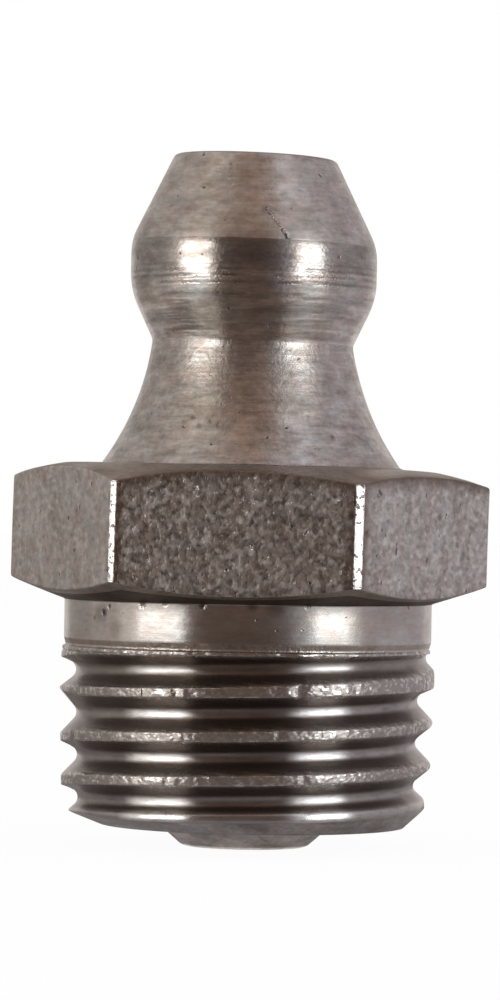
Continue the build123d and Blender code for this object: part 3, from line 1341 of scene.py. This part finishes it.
    def outline(self, angles: Array) -> list[Knot]:
        """List the corners of the outline, out of the mouth, down the outside and back up the passage.

        Args:
            angles: The columns' angles.

        Returns:
            The knots, as a closed loop.
        """
        top, face = self.hexagon_height, self.face_height
        front = self.land_height + self.land
        knots = [
            Knot(self.opening_radius, face - self.mouth_chamfer, 1, Surface.PASSAGE),
            Knot(self.opening_radius + self.mouth_chamfer, face, 4, Surface.HEAD_FACE, 0.02),
            Knot(self.face_radius, face, 14, Surface.HEAD_CONE, 0.11),
            Knot(self.head_radius, front, 4, Surface.HEAD_BALL, 0.34),
        ]
        knots += [Knot(r, z, 1, Surface.HEAD_BALL) for r, z in self.back_arc(8)]
        knots[-1].rings = 5
        knots.append(Knot(self.neck_radius, self.neck_height, 1, Surface.FLARE, 0.09))
        knots += [Knot(r, z, 1, Surface.FLARE) for r, z in self.neck_arc(16)[1:-1]]
        knots += [
            Knot(self.flare_radius, top, 4, Surface.CHAMFER, 0.1),
            Knot(self.hexagon_top_radius, top, 1, Surface.CHAMFER, 0.1, self.tilt_start),
        ]
        right = rightness(angles) ** 6
        deep = bell(np.degrees(angles), self.stain_start, self.deep_width)
        slopes = self.top_slope - self.top_slope_loss * right + self.top_slope_gain * deep
        for share in self.top_shares:
            radius, fall = self.chamfer(self.hexagon_top_radius, slopes, self.top_crown, angles, share)
            sway = self.tilt_start + (1 - self.tilt_start) * share
            knots.append(Knot(radius, top - fall, 1, Surface.CHAMFER, 0.0, sway))
        knots[-1].soft, knots[-1].rings, knots[-1].surface = self.rim_soft, self.flat_rings, Surface.FLATS
        slopes = self.base_slope + self.base_slope_gain * right
        for share in self.base_shares:
            radius, fall = self.chamfer(self.thread.collar_radius, slopes, self.base_crown, angles, share)
            rim = share == 1.0
            # the inner rings of the lower chamfer take the painted shade next to the collar
            surface = Surface.CHAMFER if rim else Surface.UNDERSIDE
            knots.append(Knot(radius, fall, 1, surface, self.rim_soft if rim else 0.0, self.base_sway * share))
        knots.append(Knot(self.thread.collar_radius, 0.0, 4, Surface.COLLAR, 0.04))
        # the band from the collar's foot down to the thread takes the darker chamfer steel: painted shade in the
        # concave corner at the collar's foot
        knots.append(Knot(self.thread.collar_radius, self.thread.collar_foot, 2, Surface.CHAMFER, 0.05))
        knots += self.thread.knots(angles)
        knots[-1].rings, knots[-1].surface = 4, Surface.CRIMP
        knots += [
            Knot(self.stub_base_radius, self.thread.end_height, 3, Surface.CRIMP, 0.1),
            Knot(self.stub_face_radius, self.stub_face, 4, Surface.CRIMP, 0.12),
            Knot(self.crimp_hole, self.stub_face, 2, Surface.PASSAGE, 0.08),
            Knot(self.crimp_hole, self.stub_face + self.crimp_thickness, 2, Surface.PASSAGE),
            Knot(self.bore_radius, self.stub_face + self.crimp_thickness, 6, Surface.PASSAGE),
            Knot(self.bore_radius, self.seat_base, 3, Surface.PASSAGE),
            Knot(self.opening_radius, self.seat_top, 2, Surface.PASSAGE),
        ]
        return knots

    def rings(self, angles: Array) -> tuple[Array, list[Surface]]:
        """Walk the outline and lay a ring at each step.

        Args:
            angles: The columns' angles.

        Returns:
            Radius, height and sway of every ring and column, and the surface that follows each ring.
        """
        outline = self.outline(angles)
        flat = np.ones_like(angles)
        points = [np.stack([k.radius * flat, k.height * flat, k.sway * flat]) for k in outline]
        laid: list[Array] = []
        surfaces: list[Surface] = []
        starts, ends = [], []
        for i, knot in enumerate(outline):
            before = points[i - 1] - points[i]
            after = points[(i + 1) % len(points)] - points[i]
            for step, side in ((before, starts), (after, ends)):
                length = np.maximum(np.sqrt(step[0] ** 2 + step[1] ** 2), TINY)
                side.append(points[i] + step * np.minimum(knot.soft / length, self.longest_rounding))
        for i, knot in enumerate(outline):
            previous = outline[i - 1].surface
            if knot.soft:
                for share in self.rounding_shares:
                    a = starts[i] * (1 - share) + points[i] * share
                    b = points[i] * (1 - share) + ends[i] * share
                    laid.append(a * (1 - share) + b * share)
                    surfaces.append(previous if share < 0.5 else knot.surface)
            for step in range(knot.rings):
                share = step / knot.rings
                laid.append(ends[i] * (1 - share) + starts[(i + 1) % len(points)] * share)
                surfaces.append(knot.surface)
        return np.array(laid), surfaces

    def settle(self, rings: Array, angles: Array) -> Array:
        """Turn rings into points in space, with the hexagon and the face a little out of true.

        Args:
            rings: Radius, height and sway of every ring and column.
            angles: The columns' angles.

        Returns:
            The points, in millimetres.
        """
        radius, height, sway = rings[:, 0], rings[:, 1], rings[:, 2]
        x, y = radius * np.cos(angles), radius * np.sin(angles)
        tilt = math.radians(self.hexagon_tilt) * sway
        front = self.land_height + self.land
        cone = unit((height - front) / (self.face_height - front))
        head = unit((height - self.neck_height + self.bend_reach) / self.bend_reach)
        slant = math.radians(self.head_lean) * head + math.radians(self.face_slant) * cone**2
        slant = slant * (radius > self.opening_radius + self.slant_start)
        return np.stack([x + tilt * (height - self.hexagon_height / 2), y, height - tilt * x - slant * x], axis=2)

    def looks(self, rings: Array, angles: Array, surfaces: list[Surface]) -> dict[str, Array]:
        """Work out the attributes that the materials read.

        Args:
            rings: Radius, height and sway of every ring and column.
            angles: The columns' angles.
            surfaces: The surface that follows each ring.

        Returns:
            The values at every point, by the attribute's name.
        """
        radius, height = rings[:, 0], rings[:, 1]
        turned = np.tile(angles, (len(rings), 1))
        on_flats = np.array([s is Surface.FLATS for s in surfaces])[:, None]
        land = self.thread.land(turned, height, radius)
        # painted shade: a dark brown line along the flats' top edge, from the front round to the right, where the
        # rounded edge would catch the light
        rise = height - height[surfaces.index(Surface.FLATS)]
        below, above = self.stained_rim
        rim = bell(rise, 0, np.where(rise > 0, above, below)) * (angles > math.radians(self.stain_start))
        return {
            "worn": np.where(on_flats, self.rubbed_edge(angles), self.thread.worn(turned, height, radius)),
            "coarse": np.array(self.coarseness)[(turned // SIXTH).astype(int) % 6],
            # painted highlight on the thread's roots and land
            "smooth": np.maximum(self.thread.smooth(turned, height), land),
            "land": land,
            # brown stain on the front flat near its corners, and the painted shade along the flats' top rim
            "stained": np.maximum(np.where(on_flats, self.stained_edge(angles), 0.0), rim),
        }

    def build(self) -> bpy.types.Object:
        """Make the body's mesh with one material for each surface.

        Returns:
            The new object.
        """
        angles = self.angles()
        rings, surfaces = self.rings(angles)
        points = self.settle(rings, angles)
        count, width = points.shape[:2]
        order, made = list(Surface), finishes()
        faces = quads(count, width, loop=True).tolist()
        materials = [made[surface].build() for surface in order]
        piece = add_mesh("nipple_body_dressed", points.reshape(-1, 3) * MM, faces, materials, flat=False)
        kinds = np.repeat([order.index(s) for s in surfaces], width)
        piece.data.polygons.foreach_set("material_index", kinds)
        for name, values in self.looks(rings, angles, surfaces).items():
            data = piece.data.attributes.new(name, "FLOAT", "POINT").data
            data.foreach_set("value", values.reshape(-1).astype(np.float32))
        piece.data.update()
        return piece


@dataclass
class CheckBall(Piece):
    """The polished ball that closes the head's mouth, with the faint ring that the seat has pressed into it."""

    node: str = "check_ball"
    body: str = "ball"
    slot: str = "ball_steel"
    rows: int = 40
    columns: int = 64
    contact_angle: float = 60.0
    contact_width: float = 2.5
    contact_depth: float = 0.004

    def build(self) -> bpy.types.Object:
        """Make a smooth ball in the CAD ball's place.

        Returns:
            The new object.
        """
        low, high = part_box(self.node)
        radius = (high.z - low.z) / 2
        rise = np.linspace(0, math.pi, self.rows + 1)[1:-1, None]
        around = np.arange(self.columns) * TURN / self.columns
        reach = radius - bell(np.degrees(rise), self.contact_angle, self.contact_width) * self.contact_depth * MM
        flat, height = reach * np.sin(rise), reach * np.cos(rise)
        ring = [flat * np.cos(around), flat * np.sin(around), height * np.ones_like(around)]
        ring = np.stack(ring, axis=2).reshape(-1, 3)
        points = np.vstack([ring, [[0, 0, radius], [0, 0, -radius]]]) + np.array((low + high) / 2)
        top, last = len(ring), len(ring) - self.columns
        pairs = [(a, (a + 1) % self.columns) for a in range(self.columns)]
        faces = quads(self.rows - 1, self.columns).tolist()
        faces += [[top, a, b] for a, b in pairs]
        faces += [[top + 1, last + b, last + a] for a, b in pairs]
        finish = SteelFinish(
            "polished_ball_steel", (0.66, 0.65, 0.64), (0.55, 0.53, 0.52), (0.08, 0.16), grain=Marks((6, 6, 6), 0.001)
        )
        return add_mesh("check_ball_dressed", points, faces, [finish.build()], flat=False)


@dataclass
class ValveSpring(Piece):
    """The coil spring below the ball, of round wire with a closed turn at each end."""

    node: str = "valve_spring"
    body: str = "nipple"
    slot: str = "spring_steel"
    joint: str = "ball_lift"
    wire_radius: float = 0.14
    coil_radius: float = 1.01
    closed_pitch: float = 0.32
    active_turns: int = 7
    steps: int = 40
    sides: int = 14
    travel: float = 1.0

    def build(self) -> bpy.types.Object:
        """Make the round-wire coil in the CAD spring's place.

        Returns:
            The new object.
        """
        low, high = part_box(self.node)
        base, top = low.z / MM + self.wire_radius, high.z / MM - self.wire_radius
        turns = self.active_turns + 2
        along = np.linspace(0, turns, turns * self.steps + 1)
        heights = [base, base + self.closed_pitch, top - self.closed_pitch, top]
        height = np.interp(along, [0, 1, turns - 1, turns], heights)
        spin = along * TURN
        outward = np.stack([np.cos(spin), np.sin(spin), np.zeros_like(spin)], axis=1)
        centre = self.coil_radius * outward + height[:, None] * np.array([0, 0, 1])
        tangent = np.gradient(centre, axis=0)
        tangent /= np.linalg.norm(tangent, axis=1)[:, None]
        sides = np.arange(self.sides)[:, None] * TURN / self.sides
        across = outward[:, None] * np.cos(sides) + np.cross(tangent, outward)[:, None] * np.sin(sides)
        tube = (centre[:, None] + self.wire_radius * across).reshape(-1, 3)
        faces = quads(len(along), self.sides, reverse=True).tolist()
        faces += [list(range(self.sides))[::-1], list(range(len(tube)))[-self.sides :]]
        finish = SteelFinish("spring_wire_steel", (0.5, 0.49, 0.48), (0.36, 0.34, 0.33), (0.25, 0.35))
        return add_mesh("valve_spring_dressed", tube * MM, faces, [finish.build()], flat=False)

    def dress(self) -> bpy.types.Object:
        """Build the spring in place of its CAD node, and give it a mesh of its own.

        Returns:
            The new object.
        """
        piece = super().dress()
        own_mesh(piece)
        return piece


# --------------------------------------------------------------------------- studio
@dataclass(frozen=True)
class Card:
    """A curved card of plain colour that stands round the nipple and shows only in its reflections.

    Attributes:
        name: The card's name.
        start: Azimuth of its left edge, in degrees from the front.
        end: Azimuth of its right edge.
        low: Elevation of its lower edge, in degrees.
        high: Elevation of its upper edge.
        colour: Its colour.
        floor: Where it also lies on the floor, how near the axis it comes, in metres.
        distance: How far from the axis it stands, or lies, in metres.
    """

    name: str
    start: float
    end: float
    low: float
    high: float
    colour: Colour
    floor: float = 0.0
    distance: float = 0.5
    step: ClassVar[float] = 5.0
    lift: ClassVar[float] = 0.01 * MM

    def divided(self, start: float, end: float) -> list[float]:
        """Divide a range of degrees into even steps."""
        count = max(2, math.ceil((end - start) / self.step))
        return [start + (end - start) * i / count for i in range(count + 1)]

    def rows(self) -> list[tuple[float, float]]:
        """Place the rows of points, from the bottom up.

        Returns:
            The distance from the axis and the height of each.
        """
        rises = [math.radians(e) for e in self.divided(self.low, self.high)]
        rows = [(self.distance * math.cos(e), self.distance * math.sin(e)) for e in rises]
        if self.floor:
            level = FLOOR_HEIGHT + self.lift
            rows = [(self.floor, level), (self.distance, level), *rows[: 0 if self.high == 0 else None]]
        return rows

    def build(self) -> bpy.types.Object:
        """Make the card.

        Returns:
            The new object.
        """
        turns, rows = self.divided(self.start, self.end), self.rows()
        points = [from_front(azimuth, radius, height) for radius, height in rows for azimuth in turns]
        faces = quads(len(rows), len(turns), strip=True, reverse=True).tolist()
        board = Board(bpy.data.materials.new(self.name))
        card = add_mesh(self.name, points, faces, [board.shown(board.shader("ShaderNodeEmission", self.colour))])
        card.visible_camera = card.visible_diffuse = card.visible_shadow = False
        return card


@dataclass(frozen=True)
class Softbox:
    """A rectangular studio lamp that points at the nipple.

    Attributes:
        name: The lamp's name.
        azimuth: Where it stands, in degrees from the front.
        elevation: How high, in degrees.
        distance: How far away, in metres.
        width: Its width in metres.
        height: Its height in metres.
        radiance: How bright its face is, 1 for white.
        colour: Its colour.
    """

    name: str
    azimuth: float
    elevation: float
    distance: float
    width: float
    height: float
    radiance: float
    colour: Colour

    def build(self) -> bpy.types.Object:
        """Make the lamp.

        Returns:
            The new object.
        """
        lamp = bpy.data.lights.new(self.name, "AREA")
        lamp.shape = "RECTANGLE"
        lamp.size, lamp.size_y = self.width, self.height
        lamp.energy = self.radiance * self.width * self.height * math.pi
        lamp.color = self.colour
        rise = math.radians(self.elevation)
        towards = Vector(from_front(self.azimuth, math.cos(rise), math.sin(rise)))
        made = link(self.name, lamp)
        made.location = towards * self.distance
        made.rotation_euler = towards.to_track_quat("Z", "Y").to_euler()
        return made


@dataclass
class Studio:
    """The pale floor, the lamps and cards, the white surroundings and the camera. Lengths in metres.

    Attributes:
        view_height: How much height the camera shows, 1000 rows at 37.6 rows for each millimetre.
        floor_white: How much of the floor's own shade is hidden from those rays that look at it.
    """

    floor_size: float = 3.0
    camera_distance: float = 0.12
    camera_azimuth: float = 3.75
    camera_height: float = 2.3 * MM
    aim_height: float = 2.69 * MM
    camera_roll: float = 1.0
    view_height: float = 1000 / 37.6 * MM
    sensor_width: float = 36.0
    clip: tuple[float, float] = (0.01, 10.0)
    floor_grey: Colour = (0.86, 0.86, 0.86)
    world_grey: Colour = (0.85, 0.85, 0.85)
    white: Colour = (1.0, 1.0, 1.0)
    floor_white: float = 0.96
    cards: tuple[Card, ...] = (
        # painted shadow: a grey sheet round the nipple's foot, seen only in reflections, standing in for the floor
        # that the nipple shades
        Card("near_table_card", -180, 180, 0, 0, (0.36, 0.34, 0.345), 1.7 * MM, 9 * MM),
        Card("front_table_card", -35, 38, 0, 0, (0.19, 0.147, 0.128), 9 * MM, 27 * MM),
        Card("left_near_tail_card", -68, -35, 0, 0, (0.45, 0.4, 0.365), 9 * MM, 16 * MM),
        Card("left_tail_card", -68, -35, 0, 0, (0.68, 0.625, 0.56), 16 * MM, 27 * MM),
        Card("right_near_tail_card", 38, 72, 0, 0, (0.4, 0.375, 0.375), 9 * MM, 16 * MM),
        Card("right_tail_card", 38, 72, 0, 0, (0.58, 0.565, 0.575), 16 * MM, 27 * MM),
        Card("left_table_card", -146, -68, 0, 0, (0.3, 0.265, 0.25), 9 * MM, 27 * MM),
        Card("right_table_card", 72, 146, 0, 0, (0.42, 0.385, 0.385), 9 * MM, 27 * MM),
        Card("back_table_card", 146, 214, 0, 0, (0.17, 0.14, 0.125), 9 * MM, 27 * MM),
        Card("front_card", -35, 22, 0, 32, (0.155, 0.113, 0.096), 27 * MM),
        Card("front_side_card", 22, 30, 0, 32, (0.19, 0.165, 0.17), 27 * MM),
        Card("front_edge_card", 30, 37, 0, 32, (0.4, 0.385, 0.4), 27 * MM),
        Card("right_edge_card", 37, 45, 0, 32, (0.62, 0.61, 0.63), 27 * MM),
        Card("front_upper_card", -36, 37, 32, 52, (0.34, 0.235, 0.19)),
        Card("left_edge_card", -82, -69, 0, 24, (0.95, 0.89, 0.84), 27 * MM),
        Card("left_upper_card", -78, -36, 24, 52, (0.77, 0.685, 0.585)),
        Card("right_upper_card", 37, 74, 24, 52, (0.97, 0.95, 0.97)),
        Card("left_side_card", -110, -82, 0, 24, (0.59, 0.545, 0.525), 27 * MM),
        Card("left_side_high_card", -110, -78, 24, 52, (0.59, 0.545, 0.525)),
        Card("left_card", -146, -110, 0, 20, (0.47, 0.43, 0.413), 27 * MM),
        Card("left_high_card", -146, -110, 20, 52, (0.6, 0.56, 0.54)),
        Card("right_card", 74, 146, 0, 52, (0.58, 0.545, 0.58), 27 * MM),
        Card("back_card", 146, 214, 0, 24, (0.74, 0.69, 0.665), 27 * MM),
        Card("back_upper_card", 146, 214, 24, 52, (0.42, 0.36, 0.335)),
        Card("ceiling_card", -36, 37, 52, 90, (0.5, 0.37, 0.3)),
        Card("left_ceiling_card", -146, -36, 52, 90, (0.75, 0.72, 0.71)),
        Card("right_ceiling_card", 37, 146, 52, 90, (0.75, 0.72, 0.79)),
        Card("back_ceiling_card", 146, 214, 52, 90, (0.42, 0.345, 0.31)),
    )
    softboxes: tuple[Softbox, ...] = (
        Softbox("left_softbox", -52.5, 6, 0.4, 0.22, 0.2, 3.4, (1.0, 0.97, 0.94)),
        Softbox("right_softbox", 57.5, 6, 0.4, 0.18, 0.2, 4.1, (0.95, 0.98, 1.0)),
    )

    def floor(self) -> bpy.types.Object:
        """Lay a large pale floor that shows white to the camera and still takes a shadow.

        Returns:
            The floor.
        """
        half = self.floor_size / 2
        corners = [(-half, -half), (half, -half), (half, half), (-half, half)]
        board = Board(bpy.data.materials.new("floor"))
        matt = board.shader("ShaderNodeBsdfDiffuse", self.floor_grey)
        white = board.shader("ShaderNodeEmission", self.white)
        paint = board.shown(board.by_ray(matt, white, self.floor_white))
        floor = add_mesh("floor", [(x, y, FLOOR_HEIGHT) for x, y in corners], [(0, 1, 2, 3)], [paint])
        return floor

    def surroundings(self) -> None:
        """Make the world white where it is looked at, and a soft plain grey where it only lights."""
        board = Board(bpy.data.worlds.new("surroundings"))
        grey = board.shader("ShaderNodeBackground", self.world_grey)
        white = board.shader("ShaderNodeBackground", self.white)
        bpy.context.scene.world = board.shown(board.by_ray(grey, white, 1.0))

    def camera(self) -> bpy.types.Object:
        """Set up the camera, level with the hexagon and rolled a little.

        Returns:
            The camera.
        """
        data = bpy.data.cameras.new("camera")
        data.sensor_width = self.sensor_width
        data.lens = self.sensor_width * self.camera_distance / self.view_height
        data.clip_start, data.clip_end = self.clip
        made = link("camera", data)
        made.location = from_front(self.camera_azimuth, self.camera_distance, self.camera_height)
        back = made.location - Vector((0, 0, self.aim_height))
        turn = back.to_track_quat("Z", "Y").to_matrix().to_4x4()
        roll = Matrix.Rotation(math.radians(self.camera_roll), 4, "Z")
        made.matrix_world = Matrix.Translation(made.location) @ turn @ roll
        bpy.context.scene.camera = made
        return made

    def build(self) -> None:
        """Set up the whole studio."""
        self.floor()
        self.surroundings()
        for card in self.cards:
            card.build()
        for softbox in self.softboxes:
            softbox.build()
        self.camera()
        bpy.context.scene.view_settings.view_transform = "Standard"
        log.info("studio: %d cards, %d softboxes", len(self.cards), len(self.softboxes))


def main() -> None:
    """Build every piece in order, then the studio."""
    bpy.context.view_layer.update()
    NippleBody().dress()
    CheckBall().dress()
    ValveSpring().dress()
    Studio().build()
    bpy.context.view_layer.update()


if __name__ == "__main__":
    main()
